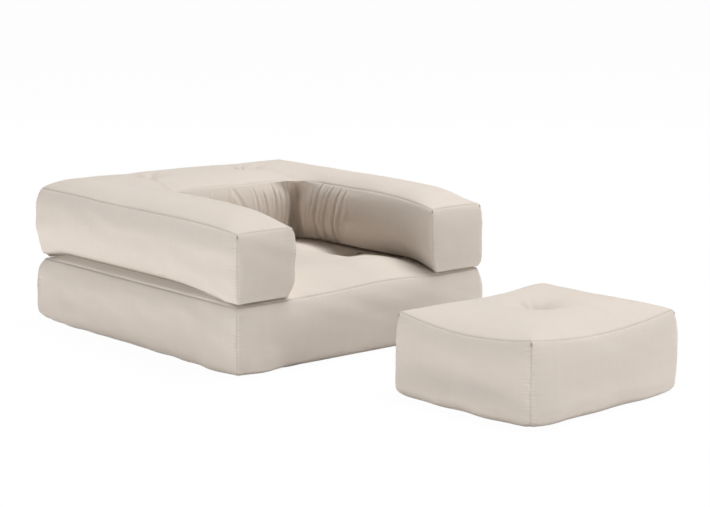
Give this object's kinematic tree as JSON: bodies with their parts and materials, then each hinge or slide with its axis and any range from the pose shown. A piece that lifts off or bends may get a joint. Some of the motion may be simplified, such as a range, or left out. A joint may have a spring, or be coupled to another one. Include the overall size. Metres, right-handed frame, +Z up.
{
  "type": "chair bed",
  "caption": "Low stuffed chair whose U-shaped back and arm block folds over to the rear to make a bed, with a loose tufted pouf in front.",
  "frame": {"origin": "on the floor under the middle of the base mattress", "axes": "+Z up, -Y towards the open front of the seat, +X to the right as seen from the front"},
  "size_m": [0.976, 1.9955, 0.4675],
  "materials": {
    "cotton_cover": "plain woven cotton, matt",
    "cotton_lining": "plain woven cotton underside, matt",
    "wadding": "loose cotton wadding",
    "foam": "open-cell foam, matt",
    "thread": "twisted cotton thread"
  },
  "bodies": {
    "base_mattress": {"base_top_panel": "cotton_cover", "base_bottom_panel": "cotton_lining", "base_front_band": "cotton_cover", "base_rear_band": "cotton_cover", "base_left_band": "cotton_cover", "base_right_band": "cotton_cover", "base_upper_wadding": "wadding", "base_foam_core": "foam", "base_lower_wadding": "wadding", "base_tufts": "thread", "hinge_flap_lower_leaf": "cotton_cover"},
    "folding_block": {"fold_top_panel": "cotton_cover", "fold_bottom_panel": "cotton_lining", "fold_inner_band": "cotton_cover", "fold_left_band": "cotton_cover", "fold_right_band": "cotton_cover", "fold_rear_band": "cotton_cover", "left_arm_front": "cotton_cover", "right_arm_front": "cotton_cover", "fold_upper_wadding": "wadding", "fold_lower_wadding": "wadding", "back_foam_core": "foam", "left_arm_foam_core": "foam", "right_arm_foam_core": "foam", "fold_tufts": "thread", "hinge_flap_upper_leaf": "cotton_cover"},
    "pouf": {"pouf_top_panel": "cotton_cover", "pouf_bottom_panel": "cotton_lining", "pouf_front_band": "cotton_cover", "pouf_rear_band": "cotton_cover", "pouf_left_band": "cotton_cover", "pouf_right_band": "cotton_cover", "pouf_upper_wadding": "wadding", "pouf_foam_core": "foam", "pouf_lower_wadding": "wadding", "pouf_tuft": "thread"}
  },
  "joints": [
    {"name": "back_fold", "type": "hinge", "parent": "base_mattress", "child": "folding_block", "pos_m": [0, 0.539, 0.23375], "axis": [-1, 0, 0], "range_deg": [0, 180]},
    {"name": "pouf_slide", "type": "slide", "parent": "base_mattress", "child": "pouf", "axis": [0, 1, 0], "range_m": [-0.3, 0.35]}
  ]
}
